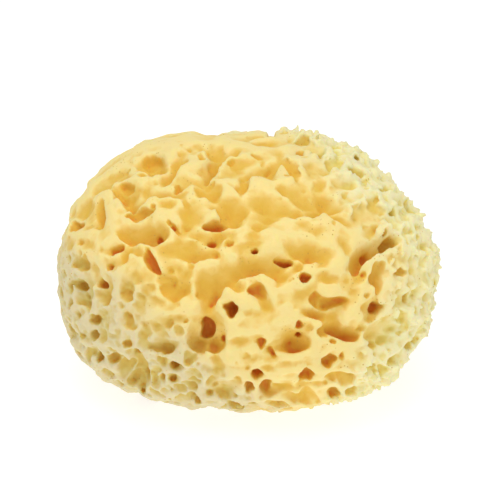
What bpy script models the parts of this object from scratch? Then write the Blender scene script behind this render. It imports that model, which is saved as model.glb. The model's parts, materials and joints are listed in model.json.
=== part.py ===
"""A natural bath sponge: one grown, rounded body about 15 cm wide, cut off flat underneath.

The body is a full, rounded loaf form with a few broad swells. Soft hollows are carved first and
smoothed, which leaves flowing folds between them. Crisp open holes and small cells are carved after that.
The pits on the front are placed as they are seen in a front view, in millimetres across and up from the
middle of the sponge. The pits on the hidden sides are scattered at even distances, in the same sizes.
"""
import math
import random

import bmesh
import bpy
from mathutils import Matrix, Vector, noise
from mathutils.bvhtree import BVHTree

# Driving dimensions of the uncut body, in metres
HALF_WIDTH = 0.0765
HALF_DEPTH = 0.063
HALF_HEIGHT = 0.0545
FULLNESS = 2.3
MIDDLE = Vector((0.00155, 0.0, 0.0475))

# Broad swells and dents: compass angle from the front, angle above level, share of the radius, spread.
# The angles and the spread are in degrees, and a negative share is a dent.
SWELLS = (
    (105, 25, -0.08, 20), (180, 62, -0.045, 22), (-75, -30, 0.045, 16), (88, -12, -0.035, 16),
    (-30, -55, -0.035, 20), (40, -50, -0.02, 22), (-120, 45, 0.015, 18),
)

# The front view that the pits are placed in: its angle above level, its distance, the point it looks at
VIEW_HEIGHT = math.radians(26)
VIEW_DISTANCE = 0.85
VIEW_CENTRE = Vector((0.00155, 0.0, 0.046))
AHEAD = Vector((0, math.cos(VIEW_HEIGHT), -math.sin(VIEW_HEIGHT)))
MM = 0.001

# Wide soft hollows on the front: across, up, width and height in mm, and turn in degrees
SOFT_HOLLOWS = (
    (-14.0, 18.8, 18.4, 5.6, 0), (-17.6, -21.6, 11.2, 13.6, 0), (-31.6, 43.6, 12.8, 3.6, 45),
    (-39.6, 44.4, 8.8, 7.2, 0), (-33.6, 33.2, 13.6, 3.2, 0), (-23.6, 28.0, 13.6, 2.0, -45),
    (-15.6, 51.6, 7.2, 5.6, 0), (-12.4, 47.2, 14.4, 3.6, 35), (-2.0, 38.8, 4.0, 9.6, 0),
    (5.2, 41.6, 12.0, 4.8, 15), (-7.2, 28.4, 13.6, 6.4, -12), (9.2, 28.8, 16.8, 11.2, 0),
    (29.2, 30.8, 17.6, 8.0, -12), (19.6, 26.0, 6.4, 4.0, 0), (14.8, 46.0, 14.4, 2.4, -40),
    (-41.6, 17.2, 14.4, 5.2, 0), (-49.6, 13.2, 8.0, 5.6, 45), (-29.6, -4.4, 9.6, 8.0, 0),
    (-22.8, 10.0, 16.8, 4.8, 0), (-12.4, 0.8, 9.6, 5.6, 0), (-2.4, 3.2, 16.0, 3.2, 0),
    (10.0, 6.4, 18.4, 7.2, 0), (19.2, 4.8, 6.4, 5.6, 0), (-16.8, -4.4, 8.8, 12.0, 0),
    (23.6, 13.6, 20.0, 9.6, -20), (49.2, 10.4, 18.4, 6.0, 30), (-0.4, -14.4, 7.2, 3.6, 0),
    (15.6, -27.6, 13.6, 8.0, 15), (36.4, -22.0, 13.6, 4.8, -25), (55.6, -22.4, 12.8, 6.4, 15),
    (-2.4, -32.0, 3.6, 11.2, -70), (-12.8, -37.2, 5.6, 8.8, 0), (-9.6, -46.8, 4.8, 7.2, -50),
    (7.6, -37.6, 6.4, 3.2, 0), (-27.6, -23.6, 2.0, 8.8, -75), (-36.8, -20.4, 8.0, 2.4, 0),
    (-33.6, -28.0, 10.4, 4.8, 0), (-50.0, -5.2, 3.2, 8.0, 0), (-59.6, 24.8, 3.2, 8.0, 0),
    (-61.2, 34.4, 5.6, 2.0, 25), (-17.2, 36.4, 10.4, 5.6, 0), (-50.0, 35.2, 10.4, 7.2, 0),
    (-46.0, -40.0, 6.4, 13.6, 0), (10.0, -45.2, 12.0, 5.6, 0), (51.6, -12.8, 11.2, 7.2, 0),
    (-58.8, -6.4, 5.6, 7.2, 0), (-67.2, -7.2, 5.2, 8.0, 0), (33.6, -12.4, 16.8, 7.2, 8),
    (6.4, -10.4, 6.4, 4.8, -40),
)

# Crisp open holes on the front, with the same five numbers
OPEN_HOLES = (
    (-44.4, 25.2, 12.0, 4.4, 12), (-14.0, 19.2, 7.2, 4.0, 0), (-40.0, 5.2, 3.6, 10.0, -25),
    (14.0, 3.6, 8.0, 3.2, -12), (22.8, -1.6, 4.0, 3.6, 0), (-7.2, -14.4, 4.8, 5.6, 0),
    (-16.8, -22.0, 7.2, 8.8, 0), (3.2, -7.2, 6.8, 4.8, -20), (33.6, -11.6, 12.0, 4.8, 8),
    (26.8, -11.2, 4.4, 6.0, 0), (51.6, -1.2, 5.2, 10.4, 0), (50.8, -13.6, 8.8, 4.8, 0),
    (46.4, 5.6, 3.6, 3.2, 0), (55.2, 10.8, 5.2, 5.2, 0), (29.6, -23.6, 4.8, 4.4, 0),
    (31.6, -35.2, 6.8, 5.2, -15), (23.6, -40.8, 5.2, 4.8, 0), (38.8, -42.4, 7.6, 6.8, 0),
    (23.2, -51.2, 8.4, 6.0, 0), (3.2, -40.4, 4.4, 4.0, 0), (0.4, -45.6, 4.0, 4.4, 0),
    (6.4, -44.8, 4.8, 5.6, 0), (9.2, -32.0, 2.0, 5.6, -50), (4.8, -28.0, 3.2, 4.0, 0),
    (-49.6, -37.6, 5.2, 8.8, 0), (-58.8, -4.4, 4.4, 4.0, 0), (-67.2, -4.8, 4.4, 4.4, 0),
    (-68.0, 3.2, 6.4, 4.8, 0), (-69.2, 18.0, 6.0, 6.8, 0), (-39.6, 44.4, 7.2, 5.2, 0),
    (-17.2, 36.4, 8.0, 4.0, 0), (-28.4, 32.8, 3.2, 3.2, 0), (-48.8, 34.4, 5.2, 3.6, 0),
    (-53.2, 8.4, 3.6, 6.4, -40), (-61.6, -18.4, 4.8, 3.6, 0), (-60.8, -24.8, 4.0, 4.0, 0),
    (-65.2, -34.0, 2.8, 6.4, 0), (-54.0, -34.0, 4.0, 4.8, -45), (-56.8, -40.8, 5.2, 5.2, 0),
    (-48.8, -28.4, 3.2, 3.2, 0), (-42.8, -26.4, 3.2, 4.8, 0), (-38.4, -41.2, 4.0, 5.6, 0),
    (-30.0, -36.0, 5.6, 6.0, 0), (-23.6, -34.0, 5.2, 4.8, 0), (-22.8, -41.6, 8.8, 4.8, 0),
    (-26.0, -50.4, 11.2, 4.4, 0), (41.2, -48.4, 4.8, 3.2, 0), (34.8, 44.4, 6.8, 5.2, 0),
    (42.4, 39.2, 5.6, 4.4, 0), (54.4, 34.0, 5.6, 2.8, 0), (62.0, 0.8, 4.8, 3.2, 0),
    (61.6, -18.4, 5.2, 4.8, 0), (63.6, -29.2, 4.0, 4.4, 0),
)

# How deep the pits go, as a share of their mean width, and how far their middles lie under the skin,
# as a share of that depth
SOFT_DEPTH = 0.66
HOLE_DEPTH = 1.2
SOFT_SINK = 0.0
HOLE_SINK = 0.35

# How far the outline of a pit wanders from an oval, how quickly it wanders round the pit, and the step
# through the noise from one pit to the next
WANDER = 0.24
WANDER_PACE = 1.3
WANDER_STEP = Vector((7.3, 3.1, 5.7))

# Skin that the front view sees at a flatter angle than this doesn't stretch a pit any further
STEEPEST_VIEW = 0.42

# The pits are read at their dark floors, so the carved openings are this much wider
SOFT_WIDENING = 1.24
HOLE_WIDENING = 1.25

# The scattered pits: how many are tried, their half widths, how much longer than wide they may be, and
# the spacing from one to the next, as a share of their sizes together
SCATTER_SEED = 11
SCATTER_TRIES = 2600
SOFT_SIZES = (0.0035, 0.0075)
HOLE_SIZES = (0.0018, 0.0042)
SMALL_SIZES_FAVOURED = 1.6
LONGEST_STRETCH = 1.5
SOFT_SPACING = 0.80
HOLE_SPACING = 1.05

# They cover the skin that faces away from the front view, and of the front itself only the ragged side
# past this width and the small-celled zone below this height
FACING_AWAY = 0.30
RAGGED_EDGE = 0.054
CELL_LINE = 0.034

# The base is cut by a slab this wide and this thick
SLAB_WIDTH = 0.4
SLAB_THICKNESS = 0.06

# The mesh: sizes of its cells while it is carved, rounds of softening, and the share of its faces kept
BODY_DIVISIONS = 6
PIT_DIVISIONS = 3
COARSE_CELL = 0.0018
PIT_CELL = 0.0014
FINE_CELL = 0.0015
SOFT_ROUNDS = 3
FINE_ROUNDS = 1
KEPT_FACES = 0.064


def clear_scene():
    for thing in list(bpy.data.objects):
        bpy.data.objects.remove(thing)


def link_mesh(name, mesh):
    thing = bpy.data.objects.new(name, mesh)
    bpy.context.scene.collection.objects.link(thing)
    return thing


def hide_cutter(thing):
    thing.hide_render = True
    thing.display_type = "WIRE"


def body_radius(direction):
    """Distance from the middle to the uncut skin along a direction."""
    x = abs(direction.x) / HALF_WIDTH
    y = abs(direction.y) / HALF_DEPTH
    z = abs(direction.z) / HALF_HEIGHT
    radius = (x ** FULLNESS + y ** FULLNESS + z ** FULLNESS) ** (-1 / FULLNESS)
    share = 1.0
    for compass, height, amount, spread in SWELLS:
        compass, height = math.radians(compass), math.radians(height)
        level = math.cos(height)
        towards = Vector((math.sin(compass) * level, -math.cos(compass) * level, math.sin(height)))
        share += amount * math.exp(-(math.degrees(direction.angle(towards)) / spread) ** 2)
    return radius * share


def ball_mesh(name, subdivisions):
    bm = bmesh.new()
    bmesh.ops.create_icosphere(bm, subdivisions=subdivisions, radius=1)
    mesh = bpy.data.meshes.new(name)
    bm.to_mesh(mesh)
    bm.free()
    return mesh


def body_mesh():
    mesh = ball_mesh("body", BODY_DIVISIONS)
    for vert in mesh.vertices:
        direction = vert.co.normalized()
        vert.co = MIDDLE + direction * body_radius(direction)
    return mesh


def surface_of(mesh):
    bm = bmesh.new()
    bm.from_mesh(mesh)
    surface = BVHTree.FromBMesh(bm)
    bm.free()
    return surface


class Pits:
    """Balls with wandering outlines, gathered into one mesh that is carved out of the body."""

    def __init__(self):
        self.ball = ball_mesh("pit", PIT_DIVISIONS)
        self.points = []
        self.faces = []
        self.places = []

    def add(self, place, across, along, inward, number):
        """One pit, with its three half axes as given. Its number picks its stretch of the noise."""
        axes = Matrix((across, along, inward)).transposed()
        shift = WANDER_STEP * number
        first = len(self.points)
        for vert in self.ball.vertices:
            swell = 1 + WANDER * noise.noise(vert.co * WANDER_PACE + shift)
            self.points.append(place + axes @ (vert.co * swell))
        outward = axes.determinant() > 0
        for face in self.ball.polygons:
            corners = face.vertices if outward else reversed(face.vertices)
            self.faces.append([first + corner for corner in corners])
        self.places.append((place, math.sqrt(across.length * along.length)))

    def mesh(self, name):
        mesh = bpy.data.meshes.new(name)
        mesh.from_pydata(self.points, [], self.faces)
        return mesh


def front_pits(pits, skin, floor, rows, widening, depth_share, sink):
    """Pits placed in the front view, each set where its line of sight meets the carved floor."""
    right = Vector((1, 0, 0))
    up = right.cross(AHEAD)
    eye = VIEW_CENTRE - AHEAD * VIEW_DISTANCE
    for number, (x, y, width, height, turn) in enumerate(rows, start=1):
        aim = VIEW_CENTRE + right * (x * MM) + up * (y * MM)
        sight = (aim - eye).normalized()
        _, normal, _, _ = skin.ray_cast(eye, sight)
        place, _, _, _ = floor.ray_cast(eye, sight)
        if normal is None or place is None:
            continue
        facing = min(sight.dot(normal), -STEEPEST_VIEW)
        turn = math.radians(turn)
        axes = []
        for size, angle in ((width, turn), (height, turn + math.pi / 2)):
            seen = right * math.cos(angle) + up * math.sin(angle)
            axes.append((seen - sight * (seen.dot(normal) / facing)) * (size * MM * widening / 2))
        depth = depth_share * math.sqrt(axes[0].length * axes[1].length) * 2
        pits.add(place - normal * (depth * sink), axes[0], axes[1], -normal * depth, number)


def scattered_pits(pits, skin, floor, sizes, depth_share, sink, spacing, rng):
    """Pits at even distances, none closer to another than their sizes allow."""
    for count in range(SCATTER_TRIES):
        direction = Vector((rng.gauss(0, 1), rng.gauss(0, 1), rng.gauss(0, 1))).normalized()
        _, normal, _, _ = skin.ray_cast(MIDDLE + direction, -direction)
        place, _, _, _ = floor.ray_cast(MIDDLE + direction, -direction)
        size = sizes[0] + (sizes[1] - sizes[0]) * rng.random() ** SMALL_SIZES_FAVOURED
        stretch = rng.uniform(1.0, LONGEST_STRETCH)
        spin = rng.uniform(0, math.pi)
        facing_front = normal.dot(AHEAD) < -FACING_AWAY
        if facing_front and place.x < RAGGED_EDGE and place.z > CELL_LINE:
            continue
        if any((place - other).length < (size + reach) * spacing for other, reach in pits.places):
            continue
        side = normal.orthogonal().normalized()
        side = Matrix.Rotation(spin, 3, normal) @ side
        other = normal.cross(side)
        depth = depth_share * size * 2
        pits.add(place - normal * (depth * sink), side * size * stretch, other * size / stretch,
                 -normal * depth, count + 0.5)


def remesh(thing, cell):
    modifier = thing.modifiers.new("even_cells", "REMESH")
    modifier.mode = "VOXEL"
    modifier.voxel_size = cell


def smooth(thing, rounds):
    modifier = thing.modifiers.new("soften", "SMOOTH")
    modifier.factor = 0.5
    modifier.iterations = rounds


def carve(thing, cutter):
    modifier = thing.modifiers.new(cutter.name, "BOOLEAN")
    modifier.operation = "DIFFERENCE"
    modifier.solver = "EXACT"
    modifier.object = cutter


def carve_pits(thing, name, pits, cell, rounds):
    """Takes the pits, run together into one shape, out of the body, and evens and softens what is left."""
    cutter = link_mesh(name, pits.mesh(name))
    remesh(cutter, PIT_CELL)
    hide_cutter(cutter)
    carve(thing, cutter)
    remesh(thing, cell)
    smooth(thing, rounds)


def ground_cutter():
    """The rock line: everything under level zero is cut away, which leaves a flat base."""
    bm = bmesh.new()
    bmesh.ops.create_cube(bm, size=1)
    bmesh.ops.scale(bm, vec=(SLAB_WIDTH, SLAB_WIDTH, SLAB_THICKNESS), verts=bm.verts)
    bmesh.ops.translate(bm, vec=(0, 0, -SLAB_THICKNESS / 2), verts=bm.verts)
    mesh = bpy.data.meshes.new("ground_cut")
    bm.to_mesh(mesh)
    bm.free()
    thing = link_mesh("ground_cut", mesh)
    hide_cutter(thing)
    return thing


def settle(thing):
    """Fixes the carved shape as a plain mesh and drops any crumb that the carving cut loose."""
    evaluated = thing.evaluated_get(bpy.context.evaluated_depsgraph_get())
    bm = bmesh.new()
    bm.from_mesh(evaluated.to_mesh())
    evaluated.to_mesh_clear()
    pieces = []
    unseen = set(bm.verts)
    while unseen:
        piece = [unseen.pop()]
        for vert in piece:
            near = {edge.other_vert(vert) for edge in vert.link_edges} & unseen
            unseen -= near
            piece.extend(near)
        pieces.append(piece)
    pieces.sort(key=len)
    for piece in pieces[:-1]:
        bmesh.ops.delete(bm, geom=piece, context="VERTS")
    thing.modifiers.clear()
    bm.to_mesh(thing.data)
    bm.free()


def sponge_material():
    material = bpy.data.materials.new("sponge_skeleton")
    material.use_nodes = True
    shader = material.node_tree.nodes["Principled BSDF"]
    shader.inputs["Base Color"].default_value = (0.81, 0.62, 0.25, 1)
    shader.inputs["Roughness"].default_value = 0.92
    shader.inputs["Metallic"].default_value = 0.0
    return material


def build():
    clear_scene()
    body = body_mesh()
    skin = surface_of(body)
    sponge = link_mesh("sponge", body)
    sponge.data.materials.append(sponge_material())
    rng = random.Random(SCATTER_SEED)

    soft = Pits()
    front_pits(soft, skin, skin, SOFT_HOLLOWS, SOFT_WIDENING, SOFT_DEPTH, SOFT_SINK)
    scattered_pits(soft, skin, skin, SOFT_SIZES, SOFT_DEPTH, SOFT_SINK, SOFT_SPACING, rng)
    carve_pits(sponge, "soft_hollows", soft, COARSE_CELL, SOFT_ROUNDS)
    settle(sponge)

    floor = surface_of(sponge.data)
    holes = Pits()
    front_pits(holes, skin, floor, OPEN_HOLES, HOLE_WIDENING, HOLE_DEPTH, HOLE_SINK)
    scattered_pits(holes, skin, floor, HOLE_SIZES, HOLE_DEPTH, HOLE_SINK, HOLE_SPACING, rng)
    carve_pits(sponge, "open_holes", holes, FINE_CELL, FINE_ROUNDS)
    fewer = sponge.modifiers.new("fewer_faces", "DECIMATE")
    fewer.ratio = KEPT_FACES
    carve(sponge, ground_cutter())
    settle(sponge)


build()
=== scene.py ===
import math
import random

import bmesh
import bpy
import numpy as np
from mathutils import Matrix, Vector, noise
from mathutils.bvhtree import BVHTree
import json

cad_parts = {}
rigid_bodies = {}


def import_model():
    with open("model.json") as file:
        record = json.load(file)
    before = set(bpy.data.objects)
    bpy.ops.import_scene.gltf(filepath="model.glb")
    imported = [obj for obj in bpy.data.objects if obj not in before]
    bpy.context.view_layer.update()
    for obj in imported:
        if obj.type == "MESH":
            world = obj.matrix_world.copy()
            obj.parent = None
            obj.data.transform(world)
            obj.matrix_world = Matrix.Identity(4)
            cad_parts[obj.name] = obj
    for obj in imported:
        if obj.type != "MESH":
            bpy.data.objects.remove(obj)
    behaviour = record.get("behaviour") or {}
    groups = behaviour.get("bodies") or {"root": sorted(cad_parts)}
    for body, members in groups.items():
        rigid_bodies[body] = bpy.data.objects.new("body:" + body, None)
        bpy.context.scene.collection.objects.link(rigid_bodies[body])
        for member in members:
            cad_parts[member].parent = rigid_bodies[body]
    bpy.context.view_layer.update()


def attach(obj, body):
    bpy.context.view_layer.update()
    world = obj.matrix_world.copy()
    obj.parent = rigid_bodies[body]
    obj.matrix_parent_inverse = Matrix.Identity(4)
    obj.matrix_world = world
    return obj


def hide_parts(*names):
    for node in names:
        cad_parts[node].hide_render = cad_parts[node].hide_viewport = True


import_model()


# The front view
# The sponge is seen from a little above its own level, from in front of its smooth, folded side. The pits
# below are placed in this same view, so it is settled before the sponge is carved.
VIEW_HEIGHT = math.radians(26)
VIEW_DISTANCE = 0.85
VIEW_CENTRE = Vector((0.00155, 0.0, 0.046))
PICTURE_WIDTH = 0.2
SENSOR_WIDTH = 36
MM = 0.001
AIM_UP = 8.8 * MM
AIM_RIGHT = 0.4 * MM
RIGHT = Vector((1, 0, 0))
AHEAD = Vector((0, math.cos(VIEW_HEIGHT), -math.sin(VIEW_HEIGHT)))
UP = RIGHT.cross(AHEAD)
EYE = VIEW_CENTRE - AHEAD * VIEW_DISTANCE

bpy.ops.object.select_all(action="DESELECT")
bpy.ops.object.camera_add(location=EYE + UP * AIM_UP + RIGHT * AIM_RIGHT)
camera = bpy.context.object
camera.name = "front_camera"
camera.rotation_euler = AHEAD.to_track_quat("-Z", "Y").to_euler()
camera.data.sensor_width = SENSOR_WIDTH
camera.data.lens = SENSOR_WIDTH * VIEW_DISTANCE / PICTURE_WIDTH
camera.data.dof.use_dof = False
bpy.context.scene.camera = camera


# The uncut body
# A sponge of this kind grows as one full, rounded loaf. This is its outer skin before any hollow, canal or
# pore is taken into account: a ball drawn out to the sponge's width, depth and height, with broad swells.
HALF_WIDTH = 0.0765
HALF_DEPTH = 0.063
HALF_HEIGHT = 0.0545
FULLNESS = 2.3
MIDDLE = Vector((0.00155, 0.0, 0.0475))
BODY_FINENESS = 7
# A swell's compass angle and height in degrees, how far it stands out as a share, and its spread in degrees.
SWELLS = (
    (105, 25, -0.08, 20), (180, 62, -0.045, 22), (-75, -30, 0.045, 16), (88, -12, -0.035, 16),
    (-30, -55, -0.035, 20), (40, -50, -0.02, 22), (-120, 45, 0.015, 18),
)


def body_radius(direction):
    """Distance from the middle to the uncut skin along a direction."""
    x = abs(direction.x) / HALF_WIDTH
    y = abs(direction.y) / HALF_DEPTH
    z = abs(direction.z) / HALF_HEIGHT
    radius = (x ** FULLNESS + y ** FULLNESS + z ** FULLNESS) ** (-1 / FULLNESS)
    share = 1.0
    for compass, height, amount, spread in SWELLS:
        compass, height = math.radians(compass), math.radians(height)
        level = math.cos(height)
        towards = Vector((math.sin(compass) * level, -math.cos(compass) * level, math.sin(height)))
        share += amount * math.exp(-(math.degrees(direction.angle(towards)) / spread) ** 2)
    return radius * share


def surface_of(thing):
    bm = bmesh.new()
    bm.from_mesh(thing.data)
    surface = BVHTree.FromBMesh(bm)
    bm.free()
    return surface


bpy.ops.object.select_all(action="DESELECT")
bpy.ops.mesh.primitive_ico_sphere_add(subdivisions=BODY_FINENESS, radius=1)
sponge = bpy.context.object
sponge.name = "sponge_flesh"
for vert in sponge.data.vertices:
    direction = vert.co.normalized()
    vert.co = MIDDLE + direction * body_radius(direction)
skin = surface_of(sponge)


# The parts of the skin
# The skin is smooth and waxy over most of the front, crowded with small cells low on the left, and torn into
# small flakes on the right and the far side. Colour and relief both follow this.
FAR_SIDE = (-0.10, 0.30)
TORN_TURN = math.radians(35)
TORN_LINE = (38 * MM, 56 * MM)
TORN_ACROSS = (54 * MM, 68 * MM)
TORN_LOW_TURN = math.radians(-28)
TORN_LOW_LINE = (44 * MM, 60 * MM)
CROWDED_TURN = math.radians(52)
CROWDED_LINE = (24 * MM, 46 * MM)
ZONE_WANDER = 7 * MM
ZONE_PACE = 14 * MM


def scaled(place, size):
    return Vector((place.x / size.x, place.y / size.y, place.z / size.z))


def ease(value, low, high):
    share = min(max((value - low) / (high - low), 0.0), 1.0)
    return share * share * (3 - 2 * share)


def zones(place):
    """How torn and how crowded the skin is at a place, each from 0 to 1."""
    seen = place - VIEW_CENTRE
    wander = noise.noise(place / ZONE_PACE) * ZONE_WANDER
    across, up = seen.dot(RIGHT) + wander, seen.dot(UP) + wander
    away = scaled(place - MIDDLE, Vector((HALF_WIDTH ** 2, HALF_DEPTH ** 2, HALF_HEIGHT ** 2))).normalized()
    far = ease(away.dot(AHEAD), *FAR_SIDE)
    slant = across * math.cos(TORN_TURN) + up * math.sin(TORN_TURN)
    low = across * math.cos(TORN_LOW_TURN) + up * math.sin(TORN_LOW_TURN)
    torn = max(ease(slant, *TORN_LINE), ease(across, *TORN_ACROSS), ease(low, *TORN_LOW_LINE), far)
    slant = -across * math.cos(CROWDED_TURN) - up * math.sin(CROWDED_TURN)
    return torn, ease(slant, *CROWDED_LINE) * (1 - torn)


# Soft hollows
# Water wore and the sponge's own growth folded the skin into wide, soft hollows with rounded ridges between
# them. Those on the front are placed across and up from the middle of the view; others cover the far sides.
# A row holds across, up, width and height in mm and the turn in degrees. A sixth number is the depth in mm.
SOFT_HOLLOWS = (
    (-14.0, 18.8, 18.4, 5.6, 0, 5), (-17.6, -21.6, 11.2, 13.6, 0), (-31.6, 43.6, 12.8, 3.6, 45),
    (-39.6, 44.4, 8.8, 7.2, 0), (-33.6, 33.2, 13.6, 3.2, 0), (-23.6, 28.0, 13.6, 2.0, -45),
    (-15.6, 51.6, 7.2, 5.6, 0), (-12.4, 47.2, 14.4, 3.6, 35), (-2.0, 38.8, 4.0, 9.6, 0),
    (5.2, 41.6, 12.0, 4.8, 15), (-7.2, 28.4, 13.6, 6.4, -12, 5.5), (9.2, 28.8, 16.8, 9.2, 0, 3),
    (29.2, 30.8, 17.6, 8.0, -12, 7), (19.6, 26.0, 6.4, 4.0, 0), (14.8, 46.0, 14.4, 2.4, -40),
    (-41.6, 17.2, 14.4, 5.2, 0), (-49.6, 13.2, 8.0, 5.6, 45), (-29.6, -4.4, 9.6, 8.0, 0),
    (-22.8, 10.0, 16.8, 4.8, 0), (-12.4, 0.8, 9.6, 5.6, 0), (-2.4, 3.2, 16.0, 3.6, 0, 5),
    (10.0, 6.4, 18.4, 7.2, 0, 6), (19.2, 4.8, 6.4, 5.6, 0), (-16.8, -4.4, 8.8, 12.0, 0),
    (24.4, 12.0, 15.0, 6.0, -15, 4.5), (49.2, 10.4, 18.4, 6.0, 30), (-0.4, -14.4, 7.2, 3.6, 0),
    (15.6, -27.6, 13.6, 8.0, 15), (36.4, -22.0, 13.6, 4.8, -25), (55.6, -22.4, 12.8, 6.4, 15),
    (-2.4, -32.0, 3.6, 11.2, 20), (-12.8, -37.2, 5.6, 8.8, 0), (-9.6, -46.8, 4.8, 7.2, 40),
    (7.6, -37.6, 6.4, 3.2, 0), (-27.6, -23.6, 2.0, 8.8, 15), (-36.8, -20.4, 8.0, 2.4, 0),
    (-33.6, -28.0, 10.4, 4.8, 0), (-50.0, -5.2, 3.2, 8.0, 0), (-59.6, 24.8, 3.2, 8.0, 0),
    (-61.2, 34.4, 5.6, 2.0, 25), (-17.2, 36.4, 10.4, 5.6, 0), (-50.0, 35.2, 10.4, 7.2, 0),
    (-46.0, -40.0, 6.4, 13.6, 0), (10.0, -45.2, 12.0, 5.6, 0), (51.6, -12.8, 11.2, 7.2, 0),
    (-58.8, -6.4, 5.6, 7.2, 0), (-67.2, -7.2, 5.2, 8.0, 0), (33.6, -12.4, 16.8, 7.2, 8),
    (6.4, -10.4, 6.4, 4.8, -40),
)
LOBES = 3
LOBE = 0.1
WANDER = 0.13
WANDER_ORDERS = 4
WANDER_TURN = 1.7
WANDER_TILT = 0.9
WANDER_TILT_STEP = 0.6
WANDER_WAVES = 2
WANDER_WAVES_STEP = 1.5
WANDER_SHIFT = 2.3
MOST_SWELL = 1.35
BEND = 0.35
BEND_STEP = 2.9
BEND_MIDDLE = 0.4
TAPER = 0.4
TAPER_STEP = 4.7
TAPER_LIMITS = (0.35, 1.65)
FLOOR_ROUNDS = 3
PRESS_ROUNDS = 2
TINY = 1e-9
STEEPEST_VIEW = 0.42
SOFT_DEPTH = 0.36
SOFT_RIM = 2
SOFT_LEAN = 1.1
SOFT_WIDENING = 1.42
SOFT_SIZES = (0.0035, 0.0075)
SOFT_SPACING = 0.80
SCATTER_SEED = 11
SCATTER_TRIES = 2600
SMALL_SIZES_FAVOURED = 1.6
LONGEST_STRETCH = 1.5
FACING_AWAY = 0.12
VIEW_HALF_WIDTH = 75
VIEW_HALF_HEIGHT = 56
CROWD_TURNS = (8, 28)
SMOOTH_RIM = 0.30
ROUGH_RIM_SHARE = 0.8
DIMPLE_TRIES = 3000
DIMPLE_SIZES = (3.0, 9.0)
DIMPLE_STRETCH = (1.05, 1.6)
DIMPLE_DEPTHS = (0.14, 0.32)
DIMPLE_SPACING = 0.64


class Pits:
    """Hollows to be pressed into the skin, each a half ball with a wandering outline, bent and tapered."""

    def __init__(self, rim):
        self.rim = rim
        self.shapes = []
        self.places = []

    def add(self, place, across, along, inward, number):
        """One pit, with its three half axes as given. Its number picks its outline."""
        self.shapes.append((place, np.array((across, along, inward)), number))
        self.places.append((place, math.sqrt(across.length * along.length)))

    def swell(self, around, number):
        """How far out the wall lies in each direction, in half axes."""
        mouth = np.arctan2(around[:, 1], around[:, 0])
        out = 1 + LOBE * np.cos((LOBES + int(number) % 2) * mouth + number)
        for order in range(WANDER_ORDERS):
            turn = number * (WANDER_TURN + order)
            tilt = number * (WANDER_TILT + WANDER_TILT_STEP * order)
            axis = (math.cos(turn) * math.cos(tilt), math.sin(turn) * math.cos(tilt), math.sin(tilt))
            waves = WANDER_WAVES + WANDER_WAVES_STEP * order
            out += WANDER / (1 + order) * np.cos(waves * (around @ axis) + number * (WANDER_SHIFT + order))
        return out

    def press(self, points):
        """Moves the points that lie inside a pit down onto its floor, along its own inward axis."""
        order = np.argsort(points[:, 0])
        level = points[order, 0]
        for place, axes, number in self.shapes:
            reach = MOST_SWELL * np.abs(axes).sum(axis=0)
            first, last = np.searchsorted(level, (place.x - reach[0], place.x + reach[0]))
            near = order[first:last]
            near = near[(np.abs(points[near] - place) < reach).all(axis=1)]
            if not len(near):
                continue
            local = (points[near] - place) @ np.linalg.inv(axes)
            bend = BEND * math.sin(number * BEND_STEP)
            taper = TAPER * math.sin(number * TAPER_STEP)
            x, z = local[:, 0], local[:, 2]
            y = local[:, 1] / np.clip(1 + taper * x, *TAPER_LIMITS) - bend * (x * x - BEND_MIDDLE)
            distance = np.sqrt(x * x + y * y + z * z) + TINY
            inside = distance < self.swell(np.stack((x, y, z), axis=1) / distance[:, None], number)
            x, y, near, local = x[inside], y[inside], near[inside], local[inside]
            flat = x * x + y * y
            floor = np.sqrt(np.clip(1 - flat, 0.0, None))
            for _ in range(FLOOR_ROUNDS):
                distance = np.sqrt(flat + floor * floor) + TINY
                wall = self.swell(np.stack((x, y, floor), axis=1) / distance[:, None], number)
                floor = np.sqrt(np.clip(wall * wall - flat, 0.0, None))
            local[:, 2] = np.maximum(floor ** self.rim, local[:, 2])
            points[near] = local @ axes + np.array(place)


def seen_place(floor, x, y):
    """Where a line of sight through a place in the view meets the carved floor and the uncut skin."""
    aim = VIEW_CENTRE + RIGHT * (x * MM) + UP * (y * MM)
    sight = (aim - EYE).normalized()
    place = floor.ray_cast(EYE, sight)[0]
    normal = skin.ray_cast(EYE, sight)[1]
    return place, normal, sight


def front_pits(pits, floor, rows, widening, sink, lean, depth_share=None, smooth_rim=0.0):
    """Pits drawn onto the skin as the front view shows them. They lean: their floors lie further down the
    view than their mouths. A sixth number in a row is the depth in mm."""
    for number, (x, y, width, height, turn, *depth) in enumerate(rows, start=1):
        place, normal, sight = seen_place(floor, x, y)
        if place is None or normal is None:
            continue
        if smooth_rim and -sight.dot(normal) < smooth_rim * (1 - ROUGH_RIM_SHARE * max(zones(place))):
            continue
        facing = min(sight.dot(normal), -STEEPEST_VIEW)
        turn = math.radians(turn)
        axes = []
        for size, angle in ((width, turn), (height, turn + math.pi / 2)):
            seen = RIGHT * math.cos(angle) + UP * math.sin(angle)
            flat = seen - sight * (seen.dot(normal) / facing)
            axes.append(flat * (size * MM * widening / 2))
        if depth:
            depth = depth[0] * MM
        else:
            depth = depth_share * math.sqrt(axes[0].length * axes[1].length) * 2
        down = -UP + sight * (UP.dot(normal) / facing)
        inward = (down.normalized() * lean - normal) * depth
        pits.add(place - normal * (depth * sink), axes[0], axes[1], inward, number)


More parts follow.
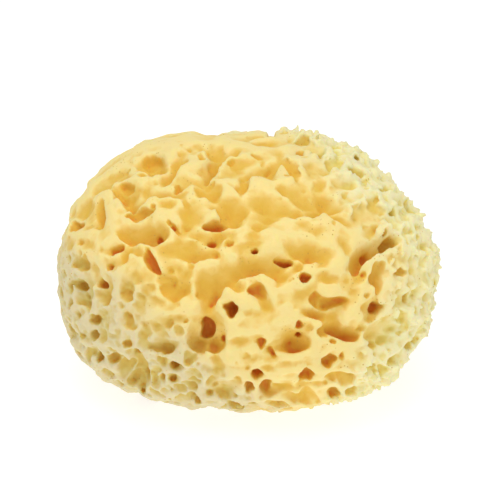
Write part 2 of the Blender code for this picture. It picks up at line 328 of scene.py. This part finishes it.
def scattered_pits(pits, floor, sizes, depth_share, sink, spacing, rng):
    """Pits at even distances over the skin that the front view doesn't show, and its ragged zones."""
    for count in range(SCATTER_TRIES):
        direction = Vector((rng.gauss(0, 1), rng.gauss(0, 1), rng.gauss(0, 1))).normalized()
        normal = skin.ray_cast(MIDDLE + direction, -direction)[1]
        place = floor.ray_cast(MIDDLE + direction, -direction)[0]
        size = sizes[0] + (sizes[1] - sizes[0]) * rng.random() ** SMALL_SIZES_FAVOURED
        stretch = rng.uniform(1.0, LONGEST_STRETCH)
        spin = rng.uniform(0, math.pi)
        if normal.dot(AHEAD) < FACING_AWAY:
            continue
        if any((place - other).length < (size + reach) * spacing for other, reach in pits.places):
            continue
        side = normal.orthogonal().normalized()
        side = Matrix.Rotation(spin, 3, normal) @ side
        other = normal.cross(side)
        depth = depth_share * size * 2
        pits.add(place - normal * (depth * sink), side * size * stretch, other * size / stretch,
                 -normal * depth, count + 0.5)


def crowd(rows, tries, sizes, stretch, depth_share, spacing, rng, kept=None):
    """Rows for further pits, at random free places in the view between those that are given."""
    taken = [(row[0], row[1], math.sqrt(row[2] * row[3])) for row in rows]
    made = []
    for count in range(tries):
        x = rng.uniform(-VIEW_HALF_WIDTH, VIEW_HALF_WIDTH)
        y = rng.uniform(-VIEW_HALF_HEIGHT, VIEW_HALF_HEIGHT)
        size = sizes[0] + (sizes[1] - sizes[0]) * rng.random() ** SMALL_SIZES_FAVOURED
        longer = rng.uniform(*stretch)
        turn = rng.gauss(*CROWD_TURNS)
        depth = size * rng.uniform(*depth_share)
        chosen = kept is None or rng.random() < kept(x, y)
        if any(math.hypot(x - a, y - b) < (size + reach) / 2 * spacing for a, b, reach in taken):
            continue
        if not chosen:
            continue
        taken.append((x, y, size))
        made.append((x, y, size * longer, size / longer, turn, depth))
    return made


def apply_modifier(thing, kind, **settings):
    bpy.ops.object.select_all(action="DESELECT")
    thing.select_set(True)
    bpy.context.view_layer.objects.active = thing
    modifier = thing.modifiers.new(kind.lower(), kind)
    for name, value in settings.items():
        setattr(modifier, name, value)
    bpy.ops.object.modifier_apply(modifier=modifier.name)


def points_of(thing):
    points = np.empty(len(thing.data.vertices) * 3)
    thing.data.vertices.foreach_get("co", points)
    return points.reshape(-1, 3)


def press_pits(thing, pits):
    """Presses pits into a piece, twice, so that those which meet under the skin open into each other."""
    points = points_of(thing)
    for _ in range(PRESS_ROUNDS):
        pits.press(points)
    thing.data.vertices.foreach_set("co", points.ravel())
    thing.data.update()


FOLD_DEPTH = 2.4 * MM
FOLD_SIZE = Vector((17, 15, 9)) * MM
FOLD_WARP = 1.0
FOLD_WARP_PACE = 0.45
BODY_VOXEL = 0.8 * MM
HOLLOW_VOXEL = 0.7 * MM
HOLLOW_ROUNDS = 5
SMOOTHING = 0.5
NOISE_SEED = 1
# Without a seed, Blender draws the folds from the clock.
noise.seed_set(NOISE_SEED)


def fold_skin(thing):
    """Presses long folds with narrow crests into the skin."""
    for vert in thing.data.vertices:
        at = scaled(vert.co - MIDDLE, FOLD_SIZE)
        at += FOLD_WARP * noise.noise_vector(at * FOLD_WARP_PACE)
        crest = 1 - 2 * abs(noise.noise(at))
        vert.co -= (vert.co - MIDDLE).normalized() * FOLD_DEPTH * (1 - crest)


fold_skin(sponge)
folded = surface_of(sponge)
rng = random.Random(SCATTER_SEED)
soft = Pits(SOFT_RIM)
front_pits(soft, folded, SOFT_HOLLOWS, SOFT_WIDENING, 0.0, SOFT_LEAN, SOFT_DEPTH)
dimples = crowd(SOFT_HOLLOWS, DIMPLE_TRIES, DIMPLE_SIZES, DIMPLE_STRETCH, DIMPLE_DEPTHS, DIMPLE_SPACING, rng)
front_pits(soft, folded, dimples, 1.0, 0.0, SOFT_LEAN, smooth_rim=SMOOTH_RIM)
scattered_pits(soft, folded, SOFT_SIZES, SOFT_DEPTH, 0.0, SOFT_SPACING, rng)
apply_modifier(sponge, "REMESH", mode="VOXEL", voxel_size=BODY_VOXEL)
press_pits(sponge, soft)
apply_modifier(sponge, "REMESH", mode="VOXEL", voxel_size=HOLLOW_VOXEL)
apply_modifier(sponge, "SMOOTH", factor=SMOOTHING, iterations=HOLLOW_ROUNDS)


# The cells of the skin
# Between the hollows the skin is a net of low walls round shallow cells. They are broad and waxy on the
# smooth front, small and crowded low on the left, and torn into little peaks on the right and the far side.
BROAD_CELL = Vector((13, 10, 7.5)) * MM
BROAD_DEPTH = 1.5 * MM
BROAD_WALL = (0.02, 0.55)
BROAD_WARP = 0.6
CROWDED_CELL = Vector((5.2, 5.2, 4.8)) * MM
CROWDED_DEPTH = 3.0 * MM
CROWDED_WALL = (0.06, 0.35)
TORN_CELL = Vector((5.2, 5.2, 5.2)) * MM
TORN_DEPTH = 1.7 * MM
TORN_WALL = (0.05, 0.45)
LUMP_SIZE = 7 * MM
LUMP_HEIGHT = 1.8 * MM
PEAK = 0.5 * MM
PEAK_REACH = 0.35
CELL_WARP = 0.35
CELL_WARP_PACE = 0.9
CELL_STEP = 17.3
SHALLOWEST_CELL = 0.35
PIT_FADE = (2.0 * MM, 6.0 * MM)
PIT_CALM = 0.8


def cell(place, size, wall, warp=CELL_WARP):
    """A net of cells: 0 on the walls, up to 1 in the middles, with a peak where three walls meet."""
    at = scaled(place, size)
    at += warp * noise.noise_vector(at * CELL_WARP_PACE)
    reach, centres = noise.voronoi(at)
    middle = ease(reach[1] - reach[0], *wall)
    share = SHALLOWEST_CELL + (1 - SHALLOWEST_CELL) * noise.cell(centres[0] * CELL_STEP)
    return middle * share, 1 - ease(reach[2] - reach[0], 0.0, PEAK_REACH)


def cell_skin(thing):
    """Presses the cells of each part of the skin into it, and calms them in the hollows."""
    moved = []
    for vert in thing.data.vertices:
        out = vert.co - MIDDLE
        depth = body_radius(out.normalized()) - out.length
        torn, crowded = zones(vert.co)
        smooth = 1 - torn - crowded
        press = 0.0
        if smooth > 0:
            press += smooth * BROAD_DEPTH * cell(vert.co, BROAD_CELL, BROAD_WALL, BROAD_WARP)[0]
        if crowded > 0:
            press += crowded * CROWDED_DEPTH * cell(vert.co, CROWDED_CELL, CROWDED_WALL)[0]
        if torn > 0:
            middle, peak = cell(vert.co, TORN_CELL, TORN_WALL)
            lump = noise.noise(vert.co / LUMP_SIZE)
            press += torn * (TORN_DEPTH * middle - PEAK * peak - LUMP_HEIGHT * lump)
        press *= 1 - PIT_CALM * ease(depth, *PIT_FADE)
        moved.append(vert.co - vert.normal * press)
    for vert, place in zip(thing.data.vertices, moved):
        vert.co = place


cell_skin(sponge)


# Open holes and canals
# Crisp round and drawn-out holes are the mouths of the canals that the living sponge pumped water through.
# The deepest run well into the flesh. Rows are as for the soft hollows, each with its depth in mm.
OPEN_HOLES = (
    (-44.4, 25.2, 12.0, 4.4, 12, 4.3), (-14.0, 19.2, 9.6, 4.0, 0, 4), (-40.0, 5.2, 3.6, 10.0, 30, 4.3),
    (14.0, 3.6, 8.0, 2.6, -12, 4.2), (22.8, -1.6, 4.0, 3.6, 0, 5), (-16.8, -22.0, 8.4, 9.6, 0, 4.6),
    (-7.2, -14.4, 4.8, 5.6, 0, 7), (3.2, -7.2, 6.8, 4.8, -20, 3.5), (33.6, -11.6, 12.0, 4.8, 8, 4.3),
    (26.8, -11.2, 4.4, 6.0, 0, 3.5), (51.6, -1.2, 5.2, 10.4, 0, 3.6), (50.8, -13.6, 8.8, 4.8, 0, 3.6),
    (46.4, 5.6, 3.6, 3.2, 0, 2.9), (55.2, 10.8, 5.2, 5.2, 0, 2.9), (29.6, -23.6, 4.8, 4.4, 0, 3),
    (31.6, -35.2, 6.8, 5.2, -15, 2.5), (23.6, -40.8, 5.2, 4.8, 0, 3), (38.8, -42.4, 7.6, 6.8, 0, 2.7),
    (23.2, -51.2, 8.4, 6.0, 0, 3.1), (3.2, -40.4, 4.4, 4.0, 0, 4.2), (0.4, -45.6, 4.0, 4.4, 0, 3.1),
    (6.4, -44.8, 4.8, 5.6, 0, 3.7), (9.2, -32.0, 2.0, 5.6, 40, 2.5), (4.8, -28.0, 3.2, 4.0, 0, 2.5),
    (-49.6, -37.6, 5.2, 8.8, 0, 3.7), (-58.8, -4.4, 4.4, 4.0, 0, 4), (-67.2, -4.8, 4.4, 4.4, 0, 4),
    (-68.0, 3.2, 6.4, 4.8, 0, 2.5), (-69.2, 18.0, 6.0, 6.8, 0, 2.9), (-39.6, 44.4, 7.2, 5.2, 0, 2.5),
    (-17.2, 36.4, 8.0, 4.0, 0, 2), (-28.4, 32.8, 3.2, 3.2, 0, 2), (-48.8, 34.4, 5.2, 3.6, 0, 2),
    (-53.2, 8.4, 3.6, 6.4, -40, 2.5), (-61.6, -18.4, 4.8, 3.6, 0, 2.3), (-60.8, -24.8, 4.0, 4.0, 0, 2.3),
    (-65.2, -34.0, 2.8, 6.4, 0, 2.3), (-54.0, -34.0, 4.0, 4.8, 45, 2.1), (-56.8, -40.8, 5.2, 5.2, 0, 2.3),
    (-48.8, -28.4, 3.2, 3.2, 0, 2.3), (-42.8, -26.4, 3.2, 4.8, 0, 2.3), (-38.4, -41.2, 4.0, 5.6, 0, 2.3),
    (-30.0, -36.0, 5.6, 6.0, 0, 2.3), (-23.6, -34.0, 5.2, 4.8, 0, 2.3), (-22.8, -41.6, 8.8, 4.8, 0, 2.1),
    (-26.0, -50.4, 11.2, 4.4, 0, 2.3), (41.2, -48.4, 4.8, 3.2, 0, 2.1), (34.8, 44.4, 6.8, 5.2, 0, 2.9),
    (42.4, 39.2, 5.6, 4.4, 0, 2.9), (54.4, 34.0, 5.6, 2.8, 0, 2.5), (62.0, 0.8, 4.8, 3.2, 0, 2.5),
    (61.6, -18.4, 5.2, 4.8, 0, 2.1), (63.6, -29.2, 4.0, 4.4, 0, 2.1),
)
SMALL_HOLES = (
    (-30.4, 18.8, 1.6, 8.0, 43, 4), (2.4, 8.8, 2.8, 2.0, 0, 5), (50.8, 16.8, 2.4, 1.6, 0, 3),
    (54.8, 16.8, 2.0, 2.4, 0, 3), (20.0, -24.8, 2.4, 2.0, 0, 4), (20.0, -20.8, 2.8, 3.2, 0, 3),
    (-56.0, 2.4, 2.0, 3.2, 0, 3), (-35.6, 12.8, 2.4, 2.4, 0, 2.4), (-53.6, 31.2, 2.4, 2.0, 0, 2.5),
    (-38.4, 26.8, 1.6, 1.6, 0, 2.5), (-15.2, 10.8, 3.2, 2.4, 0, 2.8), (-60.0, -34.4, 3.2, 4.0, 0, 3),
    (-52.0, -44.8, 4.0, 3.2, 0, 3), (-44.4, -31.2, 2.4, 4.0, 0, 3), (-35.2, -42.4, 2.8, 3.2, 0, 3),
    (-71.6, -5.2, 1.6, 4.8, 0, 2), (-71.6, -12.4, 2.0, 4.0, 0, 2), (-5.6, -53.2, 8.0, 2.4, -15, 3),
    (12.4, -54.0, 7.2, 2.0, 0, 3), (1.6, -52.0, 2.8, 1.6, 0, 2.5), (34.4, -48.8, 4.8, 3.2, 0, 3),
    (22.0, 52.8, 5.6, 2.4, 0, 3), (20.4, 48.0, 3.2, 2.4, 0, 3), (27.6, 46.8, 3.6, 3.2, 0, 4),
    (35.6, 40.4, 2.0, 1.6, 0, 2.5), (57.6, 24.8, 3.2, 3.2, 0, 2.5), (62.8, -9.2, 1.6, 5.6, 0, 2.5),
    (37.2, -33.6, 1.6, 3.2, 0, 2), (46.0, -0.4, 2.0, 1.6, 0, 2.5), (49.2, -29.2, 3.2, 2.0, 0, 2.5),
    (49.6, -37.6, 3.2, 2.0, 0, 2.5), (50.8, -40.4, 2.4, 3.2, 0, 2.5), (54.8, -40.0, 3.2, 4.0, 0, 3),
    (-10.0, -26.4, 2.0, 4.8, 0, 3), (-6.8, 44.8, 4.8, 1.0, 35, 1.8), (3.2, 46.8, 4.4, 1.0, -8, 1.8),
    (8.4, 40.8, 6.4, 1.0, 35, 2.0), (43.0, 46.4, 2.4, 3.0, 0, 3),
)
CRISP_RIM = 1
HOLE_DEPTH = 1.2
HOLE_SINK = 0.3
HOLE_LEAN = 0.25
HOLE_WIDENING = 1.1
HOLE_SIZES = (0.0018, 0.0042)
HOLE_SPACING = 1.05
HOLE_VOXEL = 0.5 * MM
# The cleft runs from front to back over the top, where it notches the outline.
CLEFT_X = 10.4 * MM
CLEFT_Y = 30 * MM
CLEFT_WIDTH = 3.4 * MM
CLEFT_LENGTH = 42 * MM
CLEFT_DEPTH = 5.5 * MM
CLEFT_NUMBER = 3.3
HIGH_ABOVE = 4 * HALF_HEIGHT
CELL_TRIES = 5000
CELL_SIZES = (1.2, 3.0)
CELL_STRETCH = (1.0, 1.5)
CELL_DEPTHS = (0.35, 0.7)
CELL_SPACING = 1.15
KEPT_WHERE_SMOOTH = 0.06
KEPT_WHERE_TORN = 0.2
KEPT_WHERE_CROWDED = 0.6

floor = surface_of(sponge)
holes = Pits(CRISP_RIM)
front_pits(holes, floor, OPEN_HOLES, HOLE_WIDENING, HOLE_SINK, HOLE_LEAN)
scattered_pits(holes, floor, HOLE_SIZES, HOLE_DEPTH, HOLE_SINK, HOLE_SPACING, rng)
front_pits(holes, floor, SMALL_HOLES, HOLE_WIDENING, HOLE_SINK, HOLE_LEAN)
cleft = floor.ray_cast(Vector((CLEFT_X, CLEFT_Y, HIGH_ABOVE)), Vector((0, 0, -1)))[0]
cleft_across = Vector((CLEFT_WIDTH / 2, 0, 0))
cleft_along = Vector((0, CLEFT_LENGTH / 2, 0))
holes.add(cleft, cleft_across, cleft_along, Vector((0, 0, -CLEFT_DEPTH)), CLEFT_NUMBER)


def cells_kept(x, y):
    """Few small cells break the smooth skin; most are in its torn and crowded parts."""
    torn, crowded = zones(VIEW_CENTRE + RIGHT * (x * MM) + UP * (y * MM) - AHEAD * HALF_DEPTH)
    return KEPT_WHERE_SMOOTH + KEPT_WHERE_TORN * torn + KEPT_WHERE_CROWDED * crowded


cells = crowd(
    OPEN_HOLES + SMALL_HOLES, CELL_TRIES, CELL_SIZES, CELL_STRETCH, CELL_DEPTHS, CELL_SPACING, rng,
    kept=cells_kept,
)
front_pits(holes, floor, cells, 1.0, HOLE_SINK, SOFT_LEAN, smooth_rim=SMOOTH_RIM)
apply_modifier(sponge, "REMESH", mode="VOXEL", voxel_size=HOLE_VOXEL)
press_pits(sponge, holes)


# Flakes of the torn skin
# On the right and the far side the skin was torn from its neighbours. Small soft flakes and tufts of it
# still stand up there, grown out of the walls of the cells.
FLAKE_TRIES = 4200
FLAKE_LENGTHS = (0.9, 2.2)
FLAKE_WIDTHS = (1.2, 2.7)
FLAKE_THICKNESS = 0.95 * MM
FLAKE_LEAN = 0.9
FLAKE_FROM_X = 0.012
FLAKE_STEP = Vector((7.3, 3.1, 5.7))
FLAKE_WANDER = 0.5
FLAKE_WAVES = 1.3
FLAKE_FINENESS = 2
FLAKE_ROOT = 0.2
FLAKE_DEEPEST = 2.5 * MM
WELL_OUTSIDE = 1.5


class Flakes:
    """Thin balls with wavy edges, gathered into one mesh."""

    def __init__(self):
        bpy.ops.object.select_all(action="DESELECT")
        bpy.ops.mesh.primitive_ico_sphere_add(subdivisions=FLAKE_FINENESS, radius=1)
        ball = bpy.context.object
        self.ball = [vert.co.copy() for vert in ball.data.vertices]
        self.ball_faces = [list(face.vertices) for face in ball.data.polygons]
        bpy.data.objects.remove(ball)
        self.points = []
        self.faces = []

    def add(self, place, across, along, out, number):
        """One flake, with its three half axes as given. Its number picks its edge."""
        axes = Matrix((across, along, out)).transposed()
        shift = FLAKE_STEP * number
        first = len(self.points)
        for corner in self.ball:
            swell = 1 + FLAKE_WANDER * noise.noise(corner * FLAKE_WAVES + shift)
            self.points.append(place + axes @ (corner * swell))
        outward = axes.determinant() > 0
        for face in self.ball_faces:
            corners = face if outward else reversed(face)
            self.faces.append([first + corner for corner in corners])


walls = surface_of(sponge)
flakes = Flakes()
for count in range(FLAKE_TRIES):
    direction = Vector((rng.gauss(0, 1), rng.gauss(0, 1), rng.gauss(0, 1))).normalized()
    place, normal = walls.ray_cast(MIDDLE + direction * HALF_WIDTH * WELL_OUTSIDE, -direction)[:2]
    length = rng.uniform(*FLAKE_LENGTHS) * MM
    width = rng.uniform(*FLAKE_WIDTHS) * MM
    lean = Vector((rng.gauss(0, 1), rng.gauss(0, 1), rng.gauss(0, 1))) * FLAKE_LEAN
    luck = rng.random()
    if place is None or place.x < FLAKE_FROM_X or luck > zones(place)[0]:
        continue
    depth = body_radius((place - MIDDLE).normalized()) - (place - MIDDLE).length
    if depth > FLAKE_DEEPEST:
        continue
    out = (normal + lean).normalized()
    side = out.orthogonal().normalized()
    side = Matrix.Rotation(count, 3, out) @ side
    root = place + out * (length * FLAKE_ROOT)
    flakes.add(root, side * width, out.cross(side) * FLAKE_THICKNESS, out * length, count)
tuft_mesh = bpy.data.meshes.new("tufts")
tuft_mesh.from_pydata(flakes.points, [], flakes.faces)
tufts = bpy.data.objects.new("tufts", tuft_mesh)
bpy.context.scene.collection.objects.link(tufts)
bpy.ops.object.select_all(action="DESELECT")
tufts.select_set(True)
sponge.select_set(True)
bpy.context.view_layer.objects.active = sponge
bpy.ops.object.join()


def cut_flat(thing, above):
    """Brings every point that lies below a level down or up onto the surface that the sponge rests on."""
    points = points_of(thing)
    points[points[:, 2] < above, 2] = 0.0
    thing.data.vertices.foreach_set("co", points.ravel())
    thing.data.update()


def drop_loose_bits(thing):
    """Deletes whatever isn't joined to the body, which is found from its leftmost point."""
    leftmost = int(points_of(thing)[:, 0].argmin())
    bpy.ops.object.select_all(action="DESELECT")
    thing.select_set(True)
    bpy.context.view_layer.objects.active = thing
    bpy.ops.object.mode_set(mode="EDIT")
    bpy.ops.mesh.select_mode(type="VERT")
    bpy.ops.mesh.select_all(action="DESELECT")
    bpy.ops.object.mode_set(mode="OBJECT")
    thing.data.vertices[leftmost].select = True
    bpy.ops.object.mode_set(mode="EDIT")
    bpy.ops.mesh.select_linked()
    bpy.ops.mesh.select_all(action="INVERT")
    bpy.ops.mesh.delete(type="VERT")
    bpy.ops.object.mode_set(mode="OBJECT")


SKIN_VOXEL = 0.55 * MM
SKIN_ROUNDS = 3
MOST_FACES = 190000
CUT_LEVEL = 0.25 * MM
GRAIN_SIZE = 2.3 * MM
FINER_GRAIN = 2.1
FINER_SHARE = 0.5
SMOOTH_GRAIN = 0.22 * MM
ROUGH_GRAIN = 0.55 * MM


def grain_skin(thing):
    """Roughens the skin finely, most where it is crowded or torn."""
    moved = []
    for vert in thing.data.vertices:
        at = vert.co / GRAIN_SIZE
        height = noise.noise(at) + FINER_SHARE * noise.noise(at * FINER_GRAIN)
        grain = SMOOTH_GRAIN + (ROUGH_GRAIN - SMOOTH_GRAIN) * max(zones(vert.co))
        moved.append(vert.co - vert.normal * (abs(height) * grain))
    for vert, place in zip(thing.data.vertices, moved):
        vert.co = place


cut_flat(sponge, 0.0)
apply_modifier(sponge, "REMESH", mode="VOXEL", voxel_size=SKIN_VOXEL)
drop_loose_bits(sponge)
apply_modifier(sponge, "SMOOTH", factor=SMOOTHING, iterations=SKIN_ROUNDS)
grain_skin(sponge)
fine_faces = len(sponge.data.polygons) * 2
apply_modifier(sponge, "DECIMATE", ratio=MOST_FACES / fine_faces)
cut_flat(sponge, CUT_LEVEL)
sponge.data.shade_smooth()


# The skin's colour
# Clean dry spongin is golden cream. Rims and ridges are painted paler, a painted highlight; the golden
# yellow of the hollows and the orange to red-brown deep in the canals are painted shade and the painted
# glow of light gathered inside them. Each point of the skin keeps how deep it lies and how closed in it is.
OPENNESS_RAYS = 12
WIDE_REACH = 14 * MM
NEAR_REACH = 4 * MM
LIFT = 0.2 * MM
RELIEF_ROUNDS = 14
RELIEF_KEPT = 0.3
WARM_MIDDLE = (-18 * MM, 10 * MM)
WARM_REACH = (46 * MM, 24 * MM)


def even_directions(count):
    """Directions spread evenly over the upper half of a ball."""
    golden = math.pi * (3 - math.sqrt(5))
    made = []
    for index in range(count):
        height = math.sqrt((index + 0.5) / count)
        level = math.sqrt(1 - height * height)
        made.append(Vector((math.cos(golden * index) * level, math.sin(golden * index) * level, height)))
    return made


def warmth(place):
    """The skin keeps more of its golden colour across the middle of the front, from 0 to 1."""
    seen = place - VIEW_CENTRE
    across = (seen.dot(RIGHT) - WARM_MIDDLE[0]) / WARM_REACH[0]
    up = (seen.dot(UP) - WARM_MIDDLE[1]) / WARM_REACH[1]
    return math.exp(-across ** 2 - up ** 2)


def relief(thing):
    """How far each point stands above (or lies below) the skin averaged around it, in mm."""
    mesh = thing.data
    count = len(mesh.vertices)
    places = points_of(thing)
    normals = np.empty(count * 3)
    mesh.vertices.foreach_get("normal", normals)
    normals = normals.reshape(-1, 3)
    ends = np.empty(len(mesh.edges) * 2, dtype=np.int64)
    mesh.edges.foreach_get("vertices", ends)
    first, second = ends.reshape(-1, 2).T
    neighbours = np.bincount(ends, minlength=count)[:, None]
    even = places.copy()
    for _ in range(RELIEF_ROUNDS):
        total = np.zeros_like(even)
        for axis in range(3):
            total[:, axis] = np.bincount(first, even[second, axis], count)
            total[:, axis] += np.bincount(second, even[first, axis], count)
        even = RELIEF_KEPT * even + (1 - RELIEF_KEPT) * total / neighbours
    return ((places - even) * normals).sum(axis=1) / MM


def point_values(thing, name, values):
    layer = thing.data.attributes.new(name, "FLOAT", "POINT")
    layer.data.foreach_set("value", np.asarray(values, dtype=np.float32))


def skin_values(thing):
    """Keeps what each point of the skin is like, for its colour and its painted shade."""
    surface = surface_of(thing)
    spread = even_directions(OPENNESS_RAYS)
    depths, closed, crease_shade, torn_skin, crowded_skin, warm = [], [], [], [], [], []
    for vert in thing.data.vertices:
        out = vert.co - MIDDLE
        depths.append((body_radius(out.normalized()) - out.length) / MM)
        turn = vert.normal.to_track_quat("Z", "Y").to_matrix()
        start = vert.co + vert.normal * LIFT
        wide = 0.0
        near = 0.0
        for ray in spread:
            distance = surface.ray_cast(start, turn @ ray, WIDE_REACH)[3]
            if distance is not None:
                wide += 1 - distance / WIDE_REACH
                near += max(1 - distance / NEAR_REACH, 0.0)
        closed.append(wide / OPENNESS_RAYS)
        crease_shade.append(near / OPENNESS_RAYS)
        torn, crowded = zones(vert.co)
        torn_skin.append(torn)
        crowded_skin.append(crowded)
        warm.append(warmth(vert.co) if vert.co.y < MIDDLE.y else 0.0)
    # Closed in, creased and deep places get painted shade, raised ones a painted highlight.
    point_values(thing, "pit_depth", depths)
    point_values(thing, "closed_in_shade", closed)
    point_values(thing, "crease_shade", crease_shade)
    point_values(thing, "relief", relief(thing))
    point_values(thing, "torn", torn_skin)
    point_values(thing, "crowded", crowded_skin)
    point_values(thing, "warm", warm)


skin_values(sponge)

material = bpy.data.materials.new("sponge_skeleton")
material.use_nodes = True
nodes = material.node_tree.nodes
links = material.node_tree.links
shader = nodes["Principled BSDF"]
shader.inputs["Roughness"].default_value = 0.8
shader.inputs["Subsurface Weight"].default_value = 0.4
shader.inputs["Subsurface Radius"].default_value = (1.0, 0.6, 0.25)
shader.inputs["Subsurface Scale"].default_value = 0.005
# The hollow share: painted shade where closed in, creased or deep, painted highlight on ridges, plus warmth.
HOLLOW_START = -0.19
HOLLOW_SHARES = (
    ("closed_in_shade", 0.5), ("pit_depth", 0.023), ("crease_shade", 0.4), ("relief", -0.24), ("warm", 0.18),
)
STREAK_SCALE = 150.0
STREAK_SHARE = 0.14
BLOTCH_SCALE = 38.0
BLOTCH_SHARE = 0.3
PORE_SCALE = 700.0
OPEN_PORES = (0.55, 0.6)
PORE_EDGE = (0.24, 0.12)
CLUSTER_SCALE = 75.0
CLUSTERS = (0.50, 0.60)
# Colour of the painted shade inside the pinholes.
PINHOLE_SHADE_COLOUR = (0.66, 0.42, 0.08)
PINHOLE_DENT = -1.5
FIBRE_SCALE = 900.0
FIBRE_HEIGHT = 0.6 * MM


def attribute(name):
    node = nodes.new("ShaderNodeAttribute")
    node.attribute_name = name
    return node.outputs["Fac"]


def sum_up(value, factor, rest):
    """value * factor + rest, as a Math node."""
    node = nodes.new("ShaderNodeMath")
    node.operation = "MULTIPLY_ADD"
    links.new(value, node.inputs[0])
    node.inputs[1].default_value = factor
    if isinstance(rest, float):
        node.inputs[2].default_value = rest
    else:
        links.new(rest, node.inputs[2])
    return node.outputs[0]


def mixed(share, first, second):
    """Two colours mixed by a share. The second may be a plain colour."""
    node = nodes.new("ShaderNodeMix")
    node.data_type = "RGBA"
    links.new(share, node.inputs["Factor"])
    links.new(first, node.inputs["A"])
    if isinstance(second, tuple):
        node.inputs["B"].default_value = (*second, 1)
    else:
        links.new(second, node.inputs["B"])
    return node.outputs["Result"]


def shaded_depth_colour(share, colours):
    """A colour ramp of painted shade, from the skin's rims down to the floors of its canals."""
    node = nodes.new("ShaderNodeValToRGB")
    stops = node.color_ramp.elements
    stops[0].position, stops[0].color = colours[0][0], (*colours[0][1], 1)
    stops[1].position, stops[1].color = colours[-1][0], (*colours[-1][1], 1)
    for place, colour in colours[1:-1]:
        stops.new(place).color = (*colour, 1)
    links.new(share, node.inputs["Fac"])
    return node.outputs["Color"]


coordinates = nodes.new("ShaderNodeTexCoord")


def pattern(kind, scale, **settings):
    node = nodes.new(kind)
    links.new(coordinates.outputs["Object"], node.inputs["Vector"])
    node.inputs["Scale"].default_value = scale
    for name, value in settings.items():
        node.inputs[name].default_value = value
    return node


hollow = HOLLOW_START
for name, share in HOLLOW_SHARES:
    hollow = sum_up(attribute(name), share, hollow)
streaks = pattern("ShaderNodeTexNoise", STREAK_SCALE, Detail=3.0).outputs["Fac"]
blotch = pattern("ShaderNodeTexNoise", BLOTCH_SCALE, Detail=4.0).outputs["Fac"]
hollow = sum_up(blotch, BLOTCH_SHARE, sum_up(streaks, STREAK_SHARE, hollow))
golden = shaded_depth_colour(hollow, (
    (0.0, (0.93, 0.74, 0.29)), (0.1, (0.90, 0.66, 0.20)), (0.23, (0.84, 0.55, 0.105)),
    (0.42, (0.81, 0.50, 0.06)), (0.75, (0.81, 0.46, 0.045)), (1.0, (0.80, 0.28, 0.03)),
))
pale = shaded_depth_colour(hollow, (
    (0.0, (0.90, 0.82, 0.46)), (0.18, (0.88, 0.78, 0.36)),
    (0.45, (0.84, 0.70, 0.20)), (1.0, (0.74, 0.54, 0.06)),
))
greyish = shaded_depth_colour(hollow, (
    (0.0, (0.75, 0.65, 0.38)), (0.18, (0.74, 0.61, 0.27)),
    (0.45, (0.73, 0.57, 0.15)), (1.0, (0.74, 0.45, 0.06)),
))
colour = mixed(attribute("crowded"), mixed(attribute("torn"), golden, pale), greyish)


def ranged(value, low, high):
    node = nodes.new("ShaderNodeMapRange")
    node.interpolation_type = "SMOOTHSTEP"
    links.new(value, node.inputs["Value"])
    node.inputs["From Min"].default_value = low
    node.inputs["From Max"].default_value = high
    return node.outputs["Result"]


def times(first, second):
    node = nodes.new("ShaderNodeMath")
    node.operation = "MULTIPLY"
    links.new(first, node.inputs[0])
    links.new(second, node.inputs[1])
    return node.outputs[0]


# Pinholes: tiny pores dented by the bump and given painted shade inside them.
pores = pattern("ShaderNodeTexVoronoi", PORE_SCALE)
some = ranged(pores.outputs["Color"], *OPEN_PORES)
clusters = ranged(pattern("ShaderNodeTexNoise", CLUSTER_SCALE, Detail=1.0).outputs["Fac"], *CLUSTERS)
pinhole = times(times(ranged(pores.outputs["Distance"], *PORE_EDGE), some), clusters)
colour = mixed(pinhole, colour, PINHOLE_SHADE_COLOUR)
links.new(colour, shader.inputs["Base Color"])

fibres = pattern("ShaderNodeTexNoise", FIBRE_SCALE, Detail=3.0, Roughness=0.6).outputs["Fac"]
bump = nodes.new("ShaderNodeBump")
bump.inputs["Strength"].default_value = 0.5
bump.inputs["Distance"].default_value = FIBRE_HEIGHT
links.new(sum_up(pinhole, PINHOLE_DENT, fibres), bump.inputs["Height"])
links.new(bump.outputs["Normal"], shader.inputs["Normal"])
sponge.data.materials.clear()
sponge.data.materials.append(material)
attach(sponge, "root")
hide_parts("sponge")


# The studio
# A plain white floor and soft light from above and in front, as a small object is lit for a catalogue. The
# floor glows a little, so that it shows as white with only a faint shadow.
FLOOR_SIZE = 6
LAMP_SIZE = 0.6
OVERHEAD_PLACE = (-0.05, -0.2, 0.85)
OVERHEAD_WATTS = 3.0
FRONT_PLACE = (0.25, -0.9, 0.35)
FRONT_WATTS = 0.7

bpy.ops.object.select_all(action="DESELECT")
bpy.ops.mesh.primitive_plane_add(size=FLOOR_SIZE)
floor_sheet = bpy.context.object
floor_sheet.name = "studio_floor"
white = bpy.data.materials.new("white_floor")
white.use_nodes = True
white_shader = white.node_tree.nodes["Principled BSDF"]
white_shader.inputs["Base Color"].default_value = (0.4, 0.4, 0.4, 1)
white_shader.inputs["Roughness"].default_value = 0.9
white_shader.inputs["Emission Color"].default_value = (1, 1, 1, 1)
white_shader.inputs["Emission Strength"].default_value = 0.75
floor_sheet.data.materials.append(white)


def soft_lamp(name, place, watts):
    bpy.ops.object.light_add(type="AREA", location=place)
    lamp = bpy.context.object
    lamp.name = name
    lamp.data.size = LAMP_SIZE
    lamp.data.energy = watts
    lamp.rotation_euler = (VIEW_CENTRE - Vector(place)).to_track_quat("-Z", "Y").to_euler()


soft_lamp("overhead", OVERHEAD_PLACE, OVERHEAD_WATTS)
soft_lamp("front_fill", FRONT_PLACE, FRONT_WATTS)
world = bpy.data.worlds.new("soft_white")
world.use_nodes = True
world.node_tree.nodes["Background"].inputs["Color"].default_value = (1, 1, 1, 1)
world.node_tree.nodes["Background"].inputs["Strength"].default_value = 0.58
bpy.context.scene.world = world
bpy.context.scene.view_settings.view_transform = "Standard"


import json
